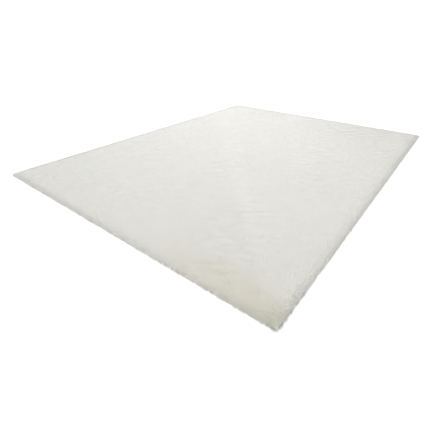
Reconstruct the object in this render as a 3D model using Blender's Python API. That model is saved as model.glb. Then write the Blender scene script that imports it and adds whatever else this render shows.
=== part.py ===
"""Shag rug: a rectangular rug with a level, dense cut pile, lying flat on the ground.

Metres, +Z up. The origin is the middle of the underside; the short sides run along X, the long sides along
Y. The rug is one closed solid that reaches as far as its pile does. Its upper side is one sheet of quads,
which comes up from the widest line round the edge to the level top of the pile. Below the widest line a
lip turns under to the flat underside.
"""

import math

import bmesh
import bpy
from mathutils import Vector, noise

# Driving dimensions: the whole rug, measured over its pile.
WIDTH = 1.500
LENGTH = 2.000
THICKNESS = 0.025
CORNER_RADIUS = 0.008

# Round the edge the outermost tufts lean out and hang over the cut ground cloth, so the rug is widest a
# little above the ground. Below that line each row lies further in, down to the underside.
WIDEST_HEIGHT = 0.007
EDGE_UNDERCUT = (
    {"inset": 0.003, "height": 0.0022},
    {"inset": 0.010, "height": 0.0},
)

# How far in from the edge the pile reaches its full height, and how full the rise is: 2 is an ellipse, and
# more is squarer.
EDGE_RISE = 0.036
EDGE_FULLNESS = 2.2

# The sheet's lines near each edge, as distances in from it, and their spacing in the field.
EDGE_LINES = (0.0, 0.0012, 0.005, 0.012, 0.022, 0.036)
FIELD_SPACING = 0.050

# The level top rises and sinks a little, and the edges wander a little in from straight.
FIELD_WAVES = (
    {"wavelength": 0.42, "height": 0.0008},
    {"wavelength": 0.13, "height": 0.0005},
)
EDGE_WANDER = {"wavelength": 0.16, "depth": 0.0016, "reach": 0.060}

PILE_COLOUR = (0.80, 0.79, 0.74, 1.0)
PILE_ROUGHNESS = 0.95
SHARP_ANGLE = math.radians(50)


def clear_scene():
    for scene_object in list(bpy.data.objects):
        bpy.data.objects.remove(scene_object, do_unlink=True)


def sheet_lines(side):
    """Coordinates of the sheet's lines across a side of this length, about its middle."""
    first, last = EDGE_LINES[-1], side - EDGE_LINES[-1]
    count = round((last - first) / FIELD_SPACING)
    field = [first + (last - first) * i / count for i in range(1, count)]
    far_edge = [side - inset for inset in reversed(EDGE_LINES)]
    return [along - side / 2 for along in [*EDGE_LINES, *field, *far_edge]]


def with_round_corners(x, y):
    """The point x, y of the full rectangle, moved so that the rectangle's corners become quarter circles."""
    centre_x = WIDTH / 2 - CORNER_RADIUS
    centre_y = LENGTH / 2 - CORNER_RADIUS
    u = (abs(x) - centre_x) / CORNER_RADIUS
    v = (abs(y) - centre_y) / CORNER_RADIUS
    if u <= 0 or v <= 0:
        return x, y
    round_x = centre_x + CORNER_RADIUS * u * math.sqrt(1 - v * v / 2)
    round_y = centre_y + CORNER_RADIUS * v * math.sqrt(1 - u * u / 2)
    return math.copysign(round_x, x), math.copysign(round_y, y)


def distance_from_edge(x, y):
    """How far the point lies inside the rug's outline with its round corners."""
    in_x = WIDTH / 2 - abs(x)
    in_y = LENGTH / 2 - abs(y)
    if min(in_x, in_y) < CORNER_RADIUS and max(in_x, in_y) < CORNER_RADIUS:
        return max(0.0, CORNER_RADIUS - math.hypot(CORNER_RADIUS - in_x, CORNER_RADIUS - in_y))
    return max(0.0, min(in_x, in_y))


def pile_height(x, y, inside):
    """Height of the pile's outer surface at a point this far inside the outline."""
    highest = THICKNESS - sum(wave["height"] for wave in FIELD_WAVES)
    for wave in FIELD_WAVES:
        highest += wave["height"] * noise.noise(Vector((x, y, 0.0)) / wave["wavelength"])
    outward = max(0.0, 1.0 - inside / EDGE_RISE)
    rise = (1.0 - outward**EDGE_FULLNESS) ** (1.0 / EDGE_FULLNESS)
    return WIDEST_HEIGHT + (highest - WIDEST_HEIGHT) * rise


def edge_wander(x, y, inside):
    """How far the point is drawn in from the straight outline; this fades out towards the field."""
    wave = noise.noise(Vector((x, y, 1.0)) / EDGE_WANDER["wavelength"])
    fade = max(0.0, 1.0 - inside / EDGE_WANDER["reach"])
    return EDGE_WANDER["depth"] * (0.5 + 0.5 * wave) * fade


def drawn_in(x, y, amount):
    """The point, drawn in towards the rug's middle by this much on the rug's outline and less within it."""
    return x * (1.0 - amount / (WIDTH / 2)), y * (1.0 - amount / (LENGTH / 2))


def add_upper_side(mesh):
    """Adds the sheet of quads over the whole rug, and returns its rows of vertices."""
    rows = []
    for line_y in sheet_lines(LENGTH):
        row = []
        for line_x in sheet_lines(WIDTH):
            x, y = with_round_corners(line_x, line_y)
            inside = distance_from_edge(x, y)
            height = pile_height(x, y, inside)
            x, y = drawn_in(x, y, edge_wander(x, y, inside))
            row.append(mesh.verts.new((x, y, height)))
        rows.append(row)
    for near, far in zip(rows, rows[1:]):
        for i in range(len(near) - 1):
            mesh.faces.new((near[i], near[i + 1], far[i + 1], far[i]))
    return rows


def rim_of(rows):
    """The vertices round the sheet's border, counterclockwise as seen from above."""
    right = [row[-1] for row in rows[1:-1]]
    left = [row[0] for row in rows[1:-1]]
    return [*rows[0], *right, *reversed(rows[-1]), *reversed(left)]


def add_lower_side(mesh, rim):
    """Adds the lip that turns under from the widest line, and the flat underside."""
    upper = rim
    for step in EDGE_UNDERCUT:
        lower = []
        for vert in rim:
            x, y = drawn_in(vert.co.x, vert.co.y, step["inset"])
            lower.append(mesh.verts.new((x, y, step["height"])))
        for i in range(len(rim)):
            mesh.faces.new((upper[i - 1], lower[i - 1], lower[i], upper[i]))
        upper = lower
    mesh.faces.new(list(reversed(upper)))


def pile_material():
    material = bpy.data.materials.new("ivory_pile")
    material.use_nodes = True
    material.diffuse_color = PILE_COLOUR
    shader = material.node_tree.nodes["Principled BSDF"]
    shader.inputs["Base Color"].default_value = PILE_COLOUR
    shader.inputs["Roughness"].default_value = PILE_ROUGHNESS
    shader.inputs["Metallic"].default_value = 0.0
    return material


def make_rug():
    mesh = bmesh.new()
    rows = add_upper_side(mesh)
    add_lower_side(mesh, rim_of(rows))
    rug_data = bpy.data.meshes.new("rug")
    mesh.to_mesh(rug_data)
    mesh.free()
    rug_data.materials.append(pile_material())
    rug_data.shade_smooth()
    rug_data.set_sharp_from_angle(angle=SHARP_ANGLE)
    rug = bpy.data.objects.new("rug", rug_data)
    bpy.context.scene.collection.objects.link(rug)


clear_scene()
make_rug()
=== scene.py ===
"""Looks of the shag rug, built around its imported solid.

A woven ground cloth lies flat on the floor. On it stands the bed, the dense lower mass of the pile, and out
of the bed come the locks, the yarn ends that are seen, gathered in tufts. Metres, +Z up; the rug's middle is
at the origin, its long sides run along Y.
"""

import math

import bpy
import numpy as np
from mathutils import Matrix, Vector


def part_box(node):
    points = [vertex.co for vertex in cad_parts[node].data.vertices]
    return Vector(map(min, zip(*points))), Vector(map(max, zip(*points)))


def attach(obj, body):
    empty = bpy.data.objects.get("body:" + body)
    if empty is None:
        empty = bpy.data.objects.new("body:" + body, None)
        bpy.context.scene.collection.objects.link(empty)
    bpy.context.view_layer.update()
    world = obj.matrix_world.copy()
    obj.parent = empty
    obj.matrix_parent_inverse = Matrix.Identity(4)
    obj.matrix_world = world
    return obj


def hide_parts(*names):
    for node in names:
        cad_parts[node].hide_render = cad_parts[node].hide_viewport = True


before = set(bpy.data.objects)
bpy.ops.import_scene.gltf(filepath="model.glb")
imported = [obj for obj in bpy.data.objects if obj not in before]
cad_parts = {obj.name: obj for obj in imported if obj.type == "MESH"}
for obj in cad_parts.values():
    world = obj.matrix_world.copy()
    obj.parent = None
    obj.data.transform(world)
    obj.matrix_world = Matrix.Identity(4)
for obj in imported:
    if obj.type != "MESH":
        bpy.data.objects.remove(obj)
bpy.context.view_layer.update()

RUG = "rug"
LOW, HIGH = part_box(RUG)
HALF_X = (HIGH.x - LOW.x) / 2
HALF_Y = (HIGH.y - LOW.y) / 2

# Camera, from the photo's two vanishing points. The picture's side, the focal length and the optical centre
# are in pixels, the sensor is in millimetres.
IMAGE_SIDE = 430
FOCAL_PIXELS = 308.34
CENTRE_PIXEL_X = 210.95
SENSOR = 36.0
CAMERA_PLACE = (0.9298, -1.4893, 0.6557)
CAMERA_TURN = math.radians(38.647)
CAMERA_DOWN = math.radians(31.755)

# Light: a dome that grows brighter towards the camera's side and is plain white where the camera sees it, a
# softbox behind and to the left, one overhead, and a small one low over the back.
DOME_WAY = (0.579, -0.721, 0.382)
DOME_COLOUR = (0.376, 0.374, 0.368, 1)
DOME_BRIGHT_COLOUR = (1.213, 1.213, 1.177, 1)
DOME_SEEN = 1.1
SOFTBOXES = (
    # place, size, power, colour; each faces the spot on the floor in the last column
    ((-1.9, 1.3, 1.9), 2.0, 27.9, (0.97, 0.975, 1.0), (0.0, 0.0)),
    ((0.0, 0.0, 2.2), 1.5, 10.6, (1.0, 0.99, 0.95), (0.0, 0.0)),
    ((-0.22, 0.84, 0.7), 0.5, 0.32, (1.0, 0.99, 0.97), (-0.22, 0.84)),
)

# Floor: how far it reaches each way, and its matt finish, which glows a little to be as white as the photo's.
FLOOR_REACH = 40.0
FLOOR_FINISH = {
    "Base Color": (0.93, 0.93, 0.93, 1),
    "Roughness": 1.0,
    "Specular IOR Level": 0.0,
    "Emission Color": (1, 1, 1, 1),
    "Emission Strength": 0.46,
}

# Soft noise: how many waves it sums, how much their lengths differ, and its height once its peaks are round.
NOISE_WAVES = 24
NOISE_LENGTHS = (0.6, 1.5)
NOISE_HEIGHT = 1.1

# A vector shorter than this has no direction.
SHORTEST = 1e-9

# Triangular grids: how far apart their rows lie and how far every second row is shifted, in spacings.
ROW_STEP = math.sqrt(3) / 2
ROW_SHIFT = 0.5

# Ground cloth and bed: the radius of the corners, insets from the pile's outline, heights over the floor, how
# far in from the edge the bed is at its full height, the cells of both grids, and the step over which the
# bed's slope is measured.
CORNER_RADIUS = 0.004
CLOTH_INSET = 0.012
CLOTH_THICKNESS = 0.002
CLOTH_CELL = 0.04
BED_INSET = 0.0045
BED_BOTTOM = 0.0005
BED_FOOT = 0.0030
BED_HEIGHT = 0.0200
BED_RISE = 0.040
BED_CELL = 0.0115
SLOPE_STEP = 0.0015

# Lumps of the bed: their height and length, how much longer they are one way and which way that is, their
# usual share of the height, how much that changes and over what length, and how far in they are full.
LUMP_HEIGHT = 0.0031
LUMP_LENGTH = 0.055
LUMP_STRETCH = 1.4
LUMP_TURN = math.radians(39)
LUMP_SHARE = 0.75
LUMP_CHANGE = 0.35
LUMP_CHANGE_LENGTH = 0.35
LUMP_INSET = 0.055
LUMP_SEED = 57
LUMP_CHANGE_SEED = 53

# Tufts: how far apart they stand, how far their borders wander, how much their locks draw together at the
# top, how each leans and differs in height, the seeds of all this, and the rows to spare past the rug's edge.
TUFT_SPACING = 0.018
TUFT_WANDER = 0.004
TUFT_WANDER_LENGTH = 0.05
TUFT_GATHER = 0.2
TUFT_LEAN = 0.10
TUFT_HEIGHT = 0.12
TUFT_BORDER_SEEDS = (41, 42)
TUFT_SEED = 43
TUFT_SPARE_ROWS = 4

# Locks: a ring of points between a foot and a tip. How wide the ring is and how much that differs, how it
# lies in its cell of the map, and how many bands across the rug the locks are joined in.
SIDES = 3
LOCK_RADIUS = 0.0008
LOCK_WIDTHS = (0.75, 1.2)
MAP_RADIUS = 0.48
MAP_TURN = math.radians(15)
BANDS = 5

# Locks of the field: their grid, how far each stands off it in spacings, their lengths, how deep they are
# sunk, and how each leans by itself and together with its neighbours in swirls.
FIELD_INSET = 0.0245
LOCK_SPACING = 0.0050
LOCK_SPARE_ROWS = 2
LOCK_WANDER = 0.35
LOCK_LENGTH = (0.0060, 0.0072)
LOCK_SUNK = 0.002
LOCK_LOOSE = 0.08
SWIRL = 0.15
SWIRL_LENGTH = 0.040
SWIRL_SEEDS = (61, 62)

# A lock's lower and upper part: their shares of its length, of its lean and of the way to its tuft's middle.
LOWER_PART = (0.5, 0.6, 0.35)
UPPER_PART = (0.55, 1.3, 0.65)

# Towards the edge, the locks of the field lean out and grow.
SPLAY = 0.5
SPLAY_REACH = 0.070
EDGE_GROWTH = 0.45
EDGE_GROWTH_POWER = 1.5

# Locks round the edge: rows of them, fanned from a little below level to nearly upright. Their tips lie on
# the shoulder of the pile, an ellipse this deep and high, whose widest line is this far over the floor.
RIM_ROWS = 13
RIM_SPACING = 0.0035
RIM_FAN = (math.radians(-18), math.radians(74))
RIM_REACH = 0.042
RIM_RISE = 0.0190
RIM_WIDEST = 0.0055

# Their lengths, how far inside the outline their feet stay, how much they arch, how much steeper they stand
# than the ellipse's angle, and how much further in than the ellipse they begin to turn round a corner.
RIM_LENGTH = (0.0075, 0.0095)
RIM_ROOT = 0.0070
RIM_ARCH = 0.10
RIM_UPRIGHT = 1.6
RIM_TURN = 0.030

# How far all their tips reach past the outline, and how uneven they are: in angle and height, in ragged ends,
# in tufts that reach further, in tufts that lean aside, and each aside by itself, in spacings.
RIM_OUT = 0.0030
RIM_JITTER = math.radians(4)
RIM_UNEVEN = 0.0006
RIM_RAGGED = 0.0018
RIM_WANDER = 0.0014
RIM_LEAN = 0.002
RIM_SHUFFLE = 0.6

# Patches of painted shade: a warm one along the front-left edge near the front corner, as under a weaker warm
# light, and darker ones at the front corner.
PATCHES = {
    # middle x, middle y, half length x, half length y, strength
    # Painted warm shade along the front-left edge: warmer and a little darker, as under a weaker warm light.
    "painted_warm_shade": (
        (0.600, -0.950, 0.280, 0.060, 0.8),
    ),
    # Painted shade at the front corner and on the parts of the two front edges next to it.
    "painted_shade": (
        (0.745, -0.995, 0.060, 0.060, 1.0),
        (0.757, -0.930, 0.020, 0.140, 0.9),
        (0.690, -1.000, 0.120, 0.025, 0.45),
    ),
}
PATCH_TINTS = {
    "painted_warm_shade": (0.895, 0.870, 0.785, 1),
    "painted_shade": (0.68, 0.71, 0.68, 1),
}
PATCH_CHANGE = 0.25
PATCH_CHANGE_LENGTH = 0.10
PATCH_SEED = 71

# Yarn: its colours, the locks' feet a little darker than their tips as painted shade, the tint of the darkest
# locks, the clouds of tint and the noise values between which they grow, the bump of the fibres, and the soft
# finish, which light enters.
BED_COLOUR = (0.93, 0.925, 0.89, 1)
LOCK_FOOT_PAINTED_SHADE = (0.92, 0.915, 0.88, 1)
LOCK_TIP_COLOUR = (0.94, 0.935, 0.90, 1)
TONE_TINT = (0.965, 0.965, 0.96, 1)
CLOUDS = (
    # noise scale, detail, share, tint
    (3.2, 2.0, 0.5, (0.98, 0.955, 0.91, 1)),
    (14.0, 3.0, 0.6, (0.97, 0.97, 0.965, 1)),
)
CLOUD_RANGE = (0.3, 0.7)
FIBRE_SCALE = 320.0
FIBRE_DETAIL = 3.0
FIBRE_HEIGHT = 0.0015
FIBRE_STRENGTH = 0.5
YARN_FINISH = {
    "Roughness": 0.9,
    "Sheen Weight": 0.30,
    "Sheen Roughness": 0.5,
    "Specular IOR Level": 0.2,
    "Subsurface Weight": 1.0,
    "Subsurface Radius": (1.0, 0.95, 0.85),
    "Subsurface Scale": 0.05,
}

# Ground cloth: the pitch and the bump of its plain weave, the colours of its dips, painted darker as shade,
# and of its crowns, and its clouds.
WEAVE_PITCH = 0.0030
WEAVE_HEIGHT = 0.0006
WEAVE_STRENGTH = 0.6
WEAVE_DIP_PAINTED_SHADE = (0.50, 0.46, 0.38, 1)
WEAVE_CROWN = (0.70, 0.66, 0.57, 1)
WEAVE_CLOUD = (0.90, 0.88, 0.84, 1)
WEAVE_CLOUD_SCALE = 9.0
WEAVE_CLOUD_DETAIL = 3.0
WEAVE_FINISH = {
    "Roughness": 0.95,
    "Specular IOR Level": 0.2,
}

# Phase that a wave texture of scale 1 gains in a metre, in radians.
WAVE_PHASE = 20

# Sockets of a mix node that are for colours, by number, because the other kinds bear the same names.
MIX_FACTOR = 0
MIX_FIRST = 6
MIX_SECOND = 7
MIX_RESULT = 2

SEED = 11
rng = np.random.default_rng(SEED)


def soft_noise(x, y, wavelength, seed):
    """Smooth noise from about -1 to 1 over the plane: a sum of seeded plane waves, with its peaks rounded."""
    waves = np.random.default_rng(seed)
    total = np.zeros_like(x)
    for _ in range(NOISE_WAVES):
        turn = waves.uniform(0, 2 * math.pi)
        stretch = waves.uniform(*NOISE_LENGTHS)
        phase = waves.uniform(0, 2 * math.pi)
        along = x * math.cos(turn) + y * math.sin(turn)
        total += np.sin(2 * math.pi * along / (wavelength * stretch) + phase)
    return NOISE_HEIGHT * np.tanh(total / math.sqrt(NOISE_WAVES))


def unit(vectors):
    return vectors / np.maximum(np.linalg.norm(vectors, axis=-1, keepdims=True), SHORTEST)


def add_object(name, data):
    obj = bpy.data.objects.new(name, data)
    bpy.context.scene.collection.objects.link(obj)
    return obj


def add_mesh(name, points, faces):
    """A smooth object from an array of points and a list of face arrays, each with rows of one length."""
    mesh = bpy.data.meshes.new(name)
    mesh.vertices.add(len(points))
    mesh.vertices.foreach_set("co", points.astype(np.float32).ravel())
    sizes = np.concatenate([np.full(len(rows), rows.shape[1]) for rows in faces])
    corners = np.concatenate([rows.ravel() for rows in faces])
    mesh.loops.add(len(corners))
    mesh.loops.foreach_set("vertex_index", corners.astype(np.int32))
    mesh.polygons.add(len(sizes))
    starts = np.concatenate([[0], np.cumsum(sizes)[:-1]])
    mesh.polygons.foreach_set("loop_start", starts.astype(np.int32))
    mesh.polygons.foreach_set("use_smooth", np.full(len(sizes), True))
    mesh.update(calc_edges=True)
    mesh.validate()
    return add_object(name, mesh)


def add_values(obj, name, values):
    attribute = obj.data.attributes.new(name, "FLOAT", "POINT")
    attribute.data.foreach_set("value", values.astype(np.float32))


# ---------------------------------------------------------------- shape of the edge

def distance_from_edge(x, y, inset):
    """How far points lie inside the outline drawn in by this inset, with its round corners."""
    in_x = HALF_X - inset - np.abs(x)
    in_y = HALF_Y - inset - np.abs(y)
    corner = (in_x < CORNER_RADIUS) & (in_y < CORNER_RADIUS)
    round_in = CORNER_RADIUS - np.hypot(CORNER_RADIUS - in_x, CORNER_RADIUS - in_y)
    return np.where(corner, round_in, np.minimum(in_x, in_y))


def bed_height(x, y):
    """Height of the bed's upper side: a round shoulder along the edge, and lumps further in."""
    inside = np.maximum(distance_from_edge(x, y, BED_INSET), 0.0)
    out = np.clip(1.0 - inside / BED_RISE, 0.0, 1.0)
    rise = np.sqrt(1.0 - out**2)
    across = x * math.cos(LUMP_TURN) + y * math.sin(LUMP_TURN)
    along = y * math.cos(LUMP_TURN) - x * math.sin(LUMP_TURN)
    lump = LUMP_HEIGHT * soft_noise(across / LUMP_STRETCH, along, LUMP_LENGTH, LUMP_SEED)
    lump = lump * (LUMP_SHARE + LUMP_CHANGE * soft_noise(x, y, LUMP_CHANGE_LENGTH, LUMP_CHANGE_SEED))
    lump = lump * np.clip(inside / LUMP_INSET, 0.0, 1.0) ** 2
    return BED_FOOT + (BED_HEIGHT + lump - BED_FOOT) * rise


def bed_normal(x, y):
    """Outward direction of the bed's surface, worked out from its height."""
    slope_x = (bed_height(x + SLOPE_STEP, y) - bed_height(x - SLOPE_STEP, y)) / (2 * SLOPE_STEP)
    slope_y = (bed_height(x, y + SLOPE_STEP) - bed_height(x, y - SLOPE_STEP)) / (2 * SLOPE_STEP)
    return unit(np.stack([-slope_x, -slope_y, np.ones_like(x)], axis=-1))


def outward(x, y, reach):
    """Vectors that point straight out of the rug near its edges and fan out round its corners. Their length
    grows from 0 at this reach inside the outline to 1 on it."""
    over_x = np.clip(np.abs(x) - (HALF_X - reach), 0, None) * np.sign(x)
    over_y = np.clip(np.abs(y) - (HALF_Y - reach), 0, None) * np.sign(y)
    return np.stack([over_x, over_y], axis=-1) / reach


def outline(inset, spacing):
    """Points round the outline drawn in by this inset, about this far apart, with their outward normals."""
    half_x, half_y = HALF_X - inset, HALF_Y - inset
    radius = CORNER_RADIUS
    straight_x, straight_y = 2 * (half_x - radius), 2 * (half_y - radius)
    arc = math.pi / 2 * radius
    total = 2 * (straight_x + straight_y) + 4 * arc
    along = np.arange(round(total / spacing)) * total / round(total / spacing)
    points, normals = np.zeros((len(along), 2)), np.zeros((len(along), 2))
    start = 0.0
    for side in range(4):
        turn = side * math.pi / 2
        forward = np.array([math.cos(turn), math.sin(turn)])
        out = np.array([forward[1], -forward[0]])
        run, depth = (straight_x, half_y) if side % 2 == 0 else (straight_y, half_x)
        past = along - start
        on = (past >= 0) & (past < run)
        points[on] = out * depth + np.outer(past[on] - run / 2, forward)
        normals[on] = out
        bend = (past >= run) & (past < run + arc)
        angle = (past[bend] - run) / radius
        direction = np.outer(np.cos(angle), out) + np.outer(np.sin(angle), forward)
        points[bend] = out * (depth - radius) + forward * run / 2 + radius * direction
        normals[bend] = direction
        start += run + arc
    return points, normals


def add_patches(obj, x, y, repeats=1):
    """Gives the object's points their share of each patch's tint. There are as many points in turn at each
    place as there are repeats."""
    change = 1 + PATCH_CHANGE * soft_noise(x, y, PATCH_CHANGE_LENGTH, PATCH_SEED)
    for name, patches in PATCHES.items():
        share = np.zeros_like(x)
        for middle_x, middle_y, half_x, half_y, strength in patches:
            away = np.hypot((x - middle_x) / half_x, (y - middle_y) / half_y)
            share = np.maximum(share, strength * np.exp(-(away**2)))
        add_values(obj, name, np.repeat(share * change, repeats))


# ---------------------------------------------------------------- ground cloth and bed

def sheet_grid(inset, cell):
    """Points x, y of a grid over the rug drawn in by this inset. Its corners are made round, as a square is
    mapped to a disc."""
    half_x, half_y = HALF_X - inset, HALF_Y - inset
    count_x, count_y = round(2 * half_x / cell), round(2 * half_y / cell)
    x, y = np.meshgrid(np.linspace(-half_x, half_x, count_x + 1), np.linspace(-half_y, half_y, count_y + 1))
    over_x = (np.abs(x) - (half_x - CORNER_RADIUS)) / CORNER_RADIUS
    over_y = (np.abs(y) - (half_y - CORNER_RADIUS)) / CORNER_RADIUS
    corner = (over_x > 0) & (over_y > 0)
    over_x, over_y = np.where(corner, over_x, 0), np.where(corner, over_y, 0)
    round_x = half_x - CORNER_RADIUS + CORNER_RADIUS * over_x * np.sqrt(1 - over_y * over_y / 2)
    round_y = half_y - CORNER_RADIUS + CORNER_RADIUS * over_y * np.sqrt(1 - over_x * over_x / 2)
    x = np.where(corner, np.sign(x) * round_x, x)
    y = np.where(corner, np.sign(y) * round_y, y)
    return x, y


def closed_sheet(name, x, y, top, bottom):
    """A closed sheet over a grid of points, with the heights of its top and its flat bottom."""
    rows, columns = x.shape
    index = np.arange(rows * columns).reshape(rows, columns)
    quads = np.stack([index[:-1, :-1], index[:-1, 1:], index[1:, 1:], index[1:, :-1]], axis=-1).reshape(-1, 4)
    rim = np.concatenate([index[0, :], index[1:-1, -1], index[-1, ::-1], index[-2:0:-1, 0]])
    upper = np.stack([x, y, top], axis=-1).reshape(-1, 3)
    lower = upper[rim].copy()
    lower[:, 2] = bottom
    under = len(upper) + np.arange(len(rim))
    wall = np.stack([np.roll(rim, 1), np.roll(under, 1), under, rim], axis=-1)
    points = np.concatenate([upper, lower])
    return add_mesh(name, points, [quads, wall, under[None, ::-1]]), points


def make_cloth():
    """The flat ground cloth."""
    x, y = sheet_grid(CLOTH_INSET, CLOTH_CELL)
    obj, _ = closed_sheet("ground_cloth", x, y, np.full_like(x, CLOTH_THICKNESS), 0.0)
    return obj


def make_bed():
    """The bed, with its lumps and its patches of tint."""
    x, y = sheet_grid(BED_INSET, BED_CELL)
    obj, points = closed_sheet("pile_bed", x, y, bed_height(x, y), BED_BOTTOM)
    add_patches(obj, points[:, 0], points[:, 1])
    return obj


# ---------------------------------------------------------------- locks

def tufts(x, y):
    """For points of the plane: the way to the middle of their tuft, its lean, and its height from -1 to 1."""
    row_step = TUFT_SPACING * ROW_STEP
    moved_x = x + TUFT_WANDER * soft_noise(x, y, TUFT_WANDER_LENGTH, TUFT_BORDER_SEEDS[0])
    moved_y = y + TUFT_WANDER * soft_noise(x, y, TUFT_WANDER_LENGTH, TUFT_BORDER_SEEDS[1])
    row = np.round(moved_y / row_step)
    column = np.round(moved_x / TUFT_SPACING - ROW_SHIFT * (row % 2))
    toward_x = (column + ROW_SHIFT * (row % 2)) * TUFT_SPACING - moved_x
    toward_y = row * row_step - moved_y
    half = int(HALF_Y / row_step) + TUFT_SPARE_ROWS
    table = np.random.default_rng(TUFT_SEED).uniform(-1, 1, (2 * half, 2 * half, 3))
    of_tuft = table[row.astype(int) + half, column.astype(int) + half]
    return np.stack([toward_x, toward_y], axis=-1), of_tuft[:, :2], of_tuft[:, 2]


def field_places():
    """Where the locks of the field stand: a triangular grid over the rug, each a little off it."""
    step_y = LOCK_SPACING * ROW_STEP
    count_x = int(2 * HALF_X / LOCK_SPACING) + LOCK_SPARE_ROWS
    count_y = int(2 * HALF_Y / step_y) + LOCK_SPARE_ROWS
    column, row = np.meshgrid(np.arange(count_x), np.arange(count_y))
    x = (column - count_x / 2 + ROW_SHIFT * (row % 2)) * LOCK_SPACING
    y = (row - count_y / 2) * step_y
    x, y = x.ravel(), y.ravel()
    x = x + rng.uniform(-LOCK_WANDER, LOCK_WANDER, len(x)) * LOCK_SPACING
    y = y + rng.uniform(-LOCK_WANDER, LOCK_WANDER, len(x)) * LOCK_SPACING
    inside = distance_from_edge(x, y, BED_INSET) > FIELD_INSET
    return x[inside], y[inside]


def part_end(start, shares, size, way, lean, gather):
    """Where the lower or the upper part of each lock ends, with its shares of the length, lean and gather."""
    of_size, of_lean, of_gather = shares
    return start + unit(way + of_lean * lean) * size * of_size + of_gather * gather


def field_locks():
    """Foot, middle and tip of each lock of the field."""
    x, y = field_places()
    normal = bed_normal(x, y)
    toward, tuft_lean, tuft_height = tufts(x, y)
    size = rng.uniform(*LOCK_LENGTH, len(x)) * (1 + TUFT_HEIGHT * tuft_height)
    out = outward(x, y, SPLAY_REACH)
    near = np.linalg.norm(out, axis=-1, keepdims=True)
    size = size[:, None] * (1 + EDGE_GROWTH * near**EDGE_GROWTH_POWER)
    swirl = np.stack([soft_noise(x, y, SWIRL_LENGTH, seed) for seed in SWIRL_SEEDS], axis=-1)
    lean = SWIRL * swirl + TUFT_LEAN * tuft_lean + LOCK_LOOSE * rng.normal(size=(len(x), 2))
    lean = lean + SPLAY * out * np.sqrt(near)
    lean = np.column_stack([lean, np.zeros(len(x))])
    gather = np.column_stack([TUFT_GATHER * toward, np.zeros(len(x))])
    foot = np.stack([x, y, bed_height(x, y)], axis=-1) - normal * LOCK_SUNK
    middle = part_end(foot, LOWER_PART, size, normal, lean, gather)
    tip = part_end(middle, UPPER_PART, size, normal, lean, gather)
    return foot, middle, tip


def rim_tips(row):
    """Tips of one row of the locks round the edge, with the angle that each has on the shoulder's ellipse."""
    row_fan = RIM_FAN[0] + (RIM_FAN[1] - RIM_FAN[0]) * (row + 0.5) / RIM_ROWS
    point, normal = outline(RIM_REACH * (1 - math.cos(row_fan)), RIM_SPACING)
    count = len(point)
    tangent = np.stack([-normal[:, 1], normal[:, 0]], axis=-1)
    half_row = 0.5 * (RIM_FAN[1] - RIM_FAN[0]) / RIM_ROWS
    fan = row_fan + half_row * rng.uniform(-1, 1, count) + RIM_JITTER * rng.normal(size=count)
    fan = np.maximum(fan, RIM_FAN[0])
    toward, tuft_lean, tuft_height = tufts(point[:, 0], point[:, 1])
    aside = np.sum(tangent * (TUFT_GATHER * toward + RIM_LEAN * tuft_lean), axis=-1)
    aside = aside + rng.uniform(-RIM_SHUFFLE, RIM_SHUFFLE, count) * RIM_SPACING
    reach = RIM_REACH * (np.cos(fan) - math.cos(row_fan)) + RIM_OUT + RIM_WANDER * tuft_height
    reach = reach - RIM_RAGGED * rng.random(count) ** 2
    height = RIM_WIDEST + RIM_RISE * np.sin(fan) + rng.uniform(-RIM_UNEVEN, RIM_UNEVEN, count)
    return np.column_stack([point + normal * reach[:, None] + tangent * aside[:, None], height]), fan


def rim_row(row):
    """Foot, middle and tip of each lock of one row round the edge."""
    tip, fan = rim_tips(row)
    out = unit(outward(tip[:, 0], tip[:, 1], RIM_TURN + RIM_REACH))
    up = np.arctan2(RIM_UPRIGHT * np.sin(fan), np.cos(fan))
    way = np.column_stack([out * np.cos(up)[:, None], np.sin(up)])
    size = rng.uniform(*RIM_LENGTH, len(tip))[:, None]
    foot = tip - unit(way) * size
    foot[:, 0] = np.clip(foot[:, 0], RIM_ROOT - HALF_X, HALF_X - RIM_ROOT)
    foot[:, 1] = np.clip(foot[:, 1], RIM_ROOT - HALF_Y, HALF_Y - RIM_ROOT)
    foot[:, 2] = np.maximum(foot[:, 2], BED_FOOT)
    middle = 0.5 * (foot + tip)
    middle[:, 2] += RIM_ARCH * size[:, 0]
    return foot, middle, tip


def lock_map(obj, foot, faces):
    """A map with a cell for each lock, in rows that follow the locks' places. The tip and the foot lie in the
    middle of the cell, the ring round them."""
    count = len(foot)
    across = math.ceil(math.sqrt(count))
    strip = np.floor(np.argsort(np.argsort(foot[:, 1])) / across)
    order = np.empty(count, int)
    order[np.lexsort((foot[:, 0], strip))] = np.arange(count)
    cell = np.stack([order % across, order // across], axis=-1) + 0.5
    turn = MAP_TURN + 2 * math.pi * np.arange(SIDES) / SIDES
    ring = MAP_RADIUS * np.stack([np.cos(turn), np.sin(turn)], axis=-1)
    spots = np.concatenate([ring, np.zeros((2, 2))])
    places = ((cell[:, None] + spots[None]) / across).reshape(-1, 2)
    layer = obj.data.uv_layers.new(name="OFBake")
    layer.uv.foreach_set("vector", places[faces.ravel()].astype(np.float32).ravel())


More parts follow.
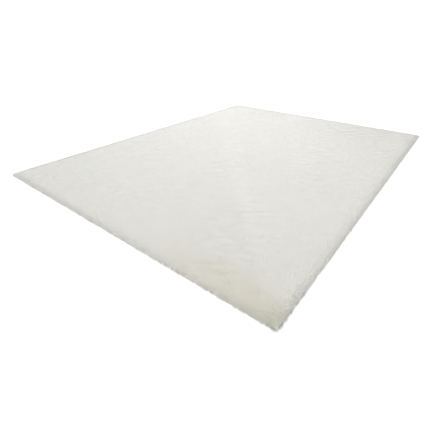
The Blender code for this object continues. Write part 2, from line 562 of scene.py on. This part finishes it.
def lock_mesh(name, foot, middle, tip):
    """Closed bent spindles: for each lock a ring of points, then its foot and its tip. The value rise goes
    from 0 at the foot, where the yarn is painted darker as shade, to 1 at the tip, and tone differs from lock
    to lock."""
    count = len(foot)
    points = np.zeros((count, SIDES + 2, 3))
    along = unit(tip - foot)
    side = unit(np.cross(along, rng.normal(size=along.shape)))
    other = np.cross(along, side)
    width = LOCK_RADIUS * rng.uniform(*LOCK_WIDTHS, (count, 1))
    for corner in range(SIDES):
        angle = 2 * math.pi * corner / SIDES
        points[:, corner] = middle + (side * math.cos(angle) + other * math.sin(angle)) * width
    points[:, SIDES] = foot
    points[:, -1] = tip
    points[..., 2] = np.maximum(points[..., 2], BED_BOTTOM)
    first = np.arange(count)[:, None] * (SIDES + 2)
    this = np.arange(SIDES)
    following = (this + 1) % SIDES
    upper = np.stack([this, following, np.full(SIDES, SIDES + 1)], axis=-1)
    lower = np.stack([following, this, np.full(SIDES, SIDES)], axis=-1)
    faces = (first[..., None] + np.concatenate([lower, upper])[None]).reshape(-1, 3)
    obj = add_mesh(name, points.reshape(-1, 3), [faces])
    lock_map(obj, foot, faces)
    rise = np.concatenate([np.full(SIDES, 0.5), [0.0, 1.0]])
    add_values(obj, "rise", np.tile(rise, count))
    add_values(obj, "tone", np.repeat(rng.random(count), SIDES + 2))
    add_patches(obj, foot[:, 0], foot[:, 1], SIDES + 2)
    return obj


def make_locks():
    """All the locks, joined in bands across the rug with about as many in each."""
    groups = [field_locks()] + [rim_row(row) for row in range(RIM_ROWS)]
    foot, middle, tip = (np.concatenate(places) for places in zip(*groups))
    pieces = []
    edges = np.quantile(foot[:, 1], np.linspace(0, 1, BANDS + 1))
    for band in range(BANDS):
        low, high = edges[band], edges[band + 1]
        chosen = (foot[:, 1] >= low) & ((foot[:, 1] < high) | (band == BANDS - 1))
        pieces.append(lock_mesh(f"pile_locks_{band + 1}", foot[chosen], middle[chosen], tip[chosen]))
    return pieces


# ---------------------------------------------------------------- materials

def new_material(name):
    material = bpy.data.materials.new(name)
    material.use_nodes = True
    tree = material.node_tree
    return material, tree, tree.nodes["Principled BSDF"]


def set_finish(shader, finish):
    for name, value in finish.items():
        shader.inputs[name].default_value = value


def attribute_value(tree, name):
    made = tree.nodes.new("ShaderNodeAttribute")
    made.attribute_name = name
    return made.outputs["Fac"]


def noise_at(tree, place, scale, detail):
    made = tree.nodes.new("ShaderNodeTexNoise")
    made.inputs["Scale"].default_value = scale
    made.inputs["Detail"].default_value = detail
    tree.links.new(place, made.inputs["Vector"])
    return made.outputs["Fac"]


def waves_at(tree, place, direction, pitch):
    made = tree.nodes.new("ShaderNodeTexWave")
    made.bands_direction = direction
    made.inputs["Scale"].default_value = 2 * math.pi / (WAVE_PHASE * pitch)
    tree.links.new(place, made.inputs["Vector"])
    return made.outputs["Fac"]


def mixed(tree, factor, first, second, blend="MIX"):
    made = tree.nodes.new("ShaderNodeMix")
    made.data_type = "RGBA"
    made.blend_type = blend
    for number, value in ((MIX_FACTOR, factor), (MIX_FIRST, first), (MIX_SECOND, second)):
        if isinstance(value, bpy.types.NodeSocket):
            tree.links.new(value, made.inputs[number])
        else:
            made.inputs[number].default_value = value
    return made.outputs[MIX_RESULT]


def tinted(tree, factor, colour, tint):
    """The colour, multiplied by the tint as far as the factor says."""
    return mixed(tree, factor, colour, mixed(tree, 1.0, colour, tint, "MULTIPLY"))


def mapped(tree, value, start, end, low, high):
    made = tree.nodes.new("ShaderNodeMapRange")
    tree.links.new(value, made.inputs["Value"])
    made.inputs["From Min"].default_value = start
    made.inputs["From Max"].default_value = end
    made.inputs["To Min"].default_value = low
    made.inputs["To Max"].default_value = high
    return made.outputs["Result"]


def bumped(tree, shader, height, strength, distance):
    bump = tree.nodes.new("ShaderNodeBump")
    bump.inputs["Strength"].default_value = strength
    bump.inputs["Distance"].default_value = distance
    tree.links.new(height, bump.inputs["Height"])
    tree.links.new(bump.outputs["Normal"], shader.inputs["Normal"])


def pile_material(name, foot_colour, tip_colour):
    """Soft matt yarn that light enters: clouds of tint, patches of painted shade, painted shade towards the
    foot of each lock, a tone for each lock, and fine fibres.
    """
    material, tree, shader = new_material(name)
    place = tree.nodes.new("ShaderNodeTexCoord").outputs["Object"]
    # Each lock a little darker at its foot than at its tip: painted shade.
    colour = mixed(tree, attribute_value(tree, "rise"), foot_colour, tip_colour)
    for scale, detail, share, tint in CLOUDS:
        cloud = mapped(tree, noise_at(tree, place, scale, detail), *CLOUD_RANGE, 0.0, share)
        colour = tinted(tree, cloud, colour, tint)
    colour = tinted(tree, attribute_value(tree, "tone"), colour, TONE_TINT)
    # Patches of painted shade: warm along the front-left edge, darker at the front corner.
    for patch, tint in PATCH_TINTS.items():
        colour = tinted(tree, attribute_value(tree, patch), colour, tint)
    tree.links.new(colour, shader.inputs["Base Color"])
    bumped(tree, shader, noise_at(tree, place, FIBRE_SCALE, FIBRE_DETAIL), FIBRE_STRENGTH, FIBRE_HEIGHT)
    set_finish(shader, YARN_FINISH)
    return material


def cloth_material():
    """Plain weave: warp and weft cross over and under, with painted shade in the dips and an uneven tone."""
    material, tree, shader = new_material("ground_cloth_weave")
    place = tree.nodes.new("ShaderNodeTexCoord").outputs["Object"]
    warp = waves_at(tree, place, "X", 2 * WEAVE_PITCH)
    weft = waves_at(tree, place, "Y", 2 * WEAVE_PITCH)
    weave = mixed(tree, warp, mapped(tree, weft, 0.0, 1.0, 1.0, 0.0), weft)
    # The dips of the weave darker than its crowns: painted shade.
    colour = mixed(tree, weave, WEAVE_DIP_PAINTED_SHADE, WEAVE_CROWN)
    cloud = noise_at(tree, place, WEAVE_CLOUD_SCALE, WEAVE_CLOUD_DETAIL)
    colour = tinted(tree, cloud, colour, WEAVE_CLOUD)
    tree.links.new(colour, shader.inputs["Base Color"])
    bumped(tree, shader, weave, WEAVE_STRENGTH, WEAVE_HEIGHT)
    set_finish(shader, WEAVE_FINISH)
    return material


# ---------------------------------------------------------------- stage

def make_camera():
    data = bpy.data.cameras.new("camera")
    data.sensor_width = SENSOR
    data.lens = SENSOR * FOCAL_PIXELS / IMAGE_SIDE
    data.shift_x = (IMAGE_SIDE / 2 - CENTRE_PIXEL_X) / IMAGE_SIDE
    camera = add_object("camera", data)
    camera.location = CAMERA_PLACE
    camera.rotation_euler = (math.pi / 2 - CAMERA_DOWN, 0.0, CAMERA_TURN)
    bpy.context.scene.camera = camera


def make_floor():
    reach = FLOOR_REACH
    points = np.array([[-reach, -reach, 0], [reach, -reach, 0], [reach, reach, 0], [-reach, reach, 0]])
    floor = add_mesh("floor", points, [np.array([[0, 1, 2, 3]])])
    material, _, shader = new_material("pale_floor")
    set_finish(shader, FLOOR_FINISH)
    floor.data.materials.append(material)


def make_dome():
    world = bpy.data.worlds.new("studio")
    world.use_nodes = True
    tree = world.node_tree
    background = tree.nodes["Background"]
    sky = tree.nodes.new("ShaderNodeTexCoord")
    toward = tree.nodes.new("ShaderNodeVectorMath")
    toward.operation = "DOT_PRODUCT"
    tree.links.new(sky.outputs["Generated"], toward.inputs[0])
    toward.inputs[1].default_value = DOME_WAY
    share = mapped(tree, toward.outputs["Value"], 0.0, 1.0, 0.0, 1.0)
    lit = mixed(tree, share, DOME_COLOUR, DOME_BRIGHT_COLOUR)
    path = tree.nodes.new("ShaderNodeLightPath")
    colour = mixed(tree, path.outputs["Is Camera Ray"], lit, (DOME_SEEN, DOME_SEEN, DOME_SEEN, 1))
    tree.links.new(colour, background.inputs["Color"])
    bpy.context.scene.world = world


def make_softboxes():
    for place, size, power, colour, spot in SOFTBOXES:
        data = bpy.data.lights.new("softbox", "AREA")
        data.shape = "DISK"
        data.size = size
        data.energy = power
        data.color = colour
        light = add_object("softbox", data)
        light.location = place
        light.visible_camera = False
        over_x, over_y = spot[0] - place[0], spot[1] - place[1]
        lean = math.atan2(math.hypot(over_x, over_y), place[2])
        light.rotation_euler = (lean, 0.0, math.atan2(over_y, over_x) - math.pi / 2)


make_camera()
make_floor()
make_dome()
make_softboxes()
bpy.context.scene.view_settings.view_transform = "Standard"

cloth = make_cloth()
bed = make_bed()
locks = make_locks()
cloth.data.materials.append(cloth_material())
bed.data.materials.append(pile_material("pile_deep", BED_COLOUR, BED_COLOUR))
lock_finish = pile_material("pile_yarn", LOCK_FOOT_PAINTED_SHADE, LOCK_TIP_COLOUR)
for piece in locks:
    piece.data.materials.append(lock_finish)

for piece in (cloth, bed, *locks):
    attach(piece, "root")
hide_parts(RUG)
